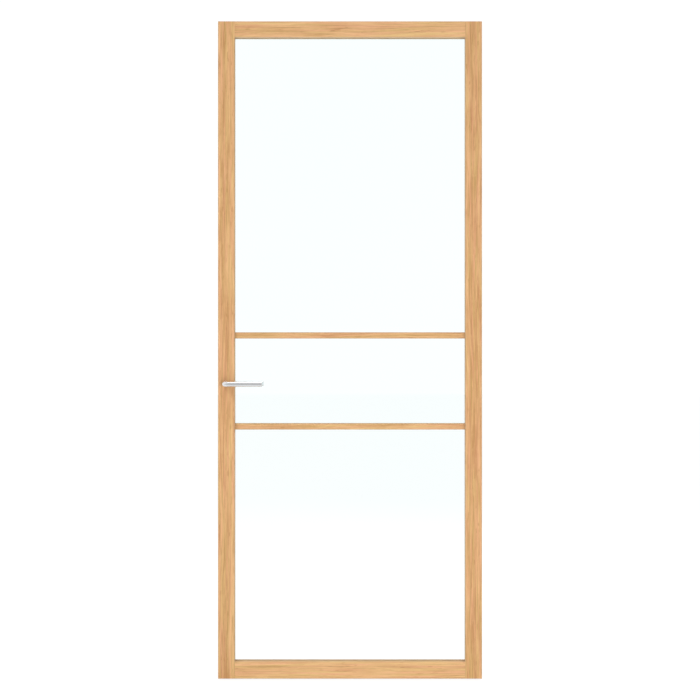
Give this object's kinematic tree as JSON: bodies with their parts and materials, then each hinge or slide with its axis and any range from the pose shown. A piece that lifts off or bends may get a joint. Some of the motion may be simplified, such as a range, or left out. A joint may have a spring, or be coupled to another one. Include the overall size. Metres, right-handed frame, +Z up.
{
  "type": "glazed interior door leaf",
  "caption": "Slim oak interior door leaf with full-height glass parted by thin glazing bars, a mortise latch in the lock edge and round-bar steel levers on both faces.",
  "frame": {"origin": "on the hinge edge, at the foot of the leaf and the middle of its thickness", "axes": "+X from the lock edge out through the hinge edge, +Y from the front face to the back face, +Z up"},
  "size_m": [0.93, 0.159, 2.315],
  "materials": {
    "oak": "satin lacquered honey oak, grain along each piece",
    "glass": "clear float glass",
    "seal": "matt glazing tape",
    "setting_block": "matt",
    "satin_steel": "satin stainless steel",
    "lock_steel": "zinc plated steel"
  },
  "bodies": {
    "leaf": {"lock_stile": "oak", "hinge_stile": "oak", "top_rail": "oak", "bottom_rail": "oak", "upper_glazing_bar": "oak", "lower_glazing_bar": "oak", "top_pane_bead_top": "oak", "top_pane_bead_bottom": "oak", "top_pane_bead_left": "oak", "top_pane_bead_right": "oak", "middle_pane_bead_top": "oak", "middle_pane_bead_bottom": "oak", "middle_pane_bead_left": "oak", "middle_pane_bead_right": "oak", "bottom_pane_bead_top": "oak", "bottom_pane_bead_bottom": "oak", "bottom_pane_bead_left": "oak", "bottom_pane_bead_right": "oak", "top_pane": "glass", "middle_pane": "glass", "bottom_pane": "glass", "top_front_seal": "seal", "top_back_seal": "seal", "middle_front_seal": "seal", "middle_back_seal": "seal", "bottom_front_seal": "seal", "bottom_back_seal": "seal", "top_setting_blocks": "setting_block", "middle_setting_blocks": "setting_block", "bottom_setting_blocks": "setting_block", "lock_case": "lock_steel", "lock_faceplate": "satin_steel", "latch_bolt": "satin_steel", "front_collar": "satin_steel", "back_collar": "satin_steel"},
    "lever_set": {"front_lever": "satin_steel", "back_lever": "satin_steel", "spindle": "lock_steel", "lock_follower": "lock_steel"}
  },
  "joints": [
    {"name": "lever_turn", "type": "hinge", "parent": "leaf", "child": "lever_set", "pos_m": [-0.903, 0, 1.038], "axis": [0, 1, 0], "range_deg": [0, 45], "stiffness_Nm_per_rad": 1, "springref_deg": -57.3}
  ]
}
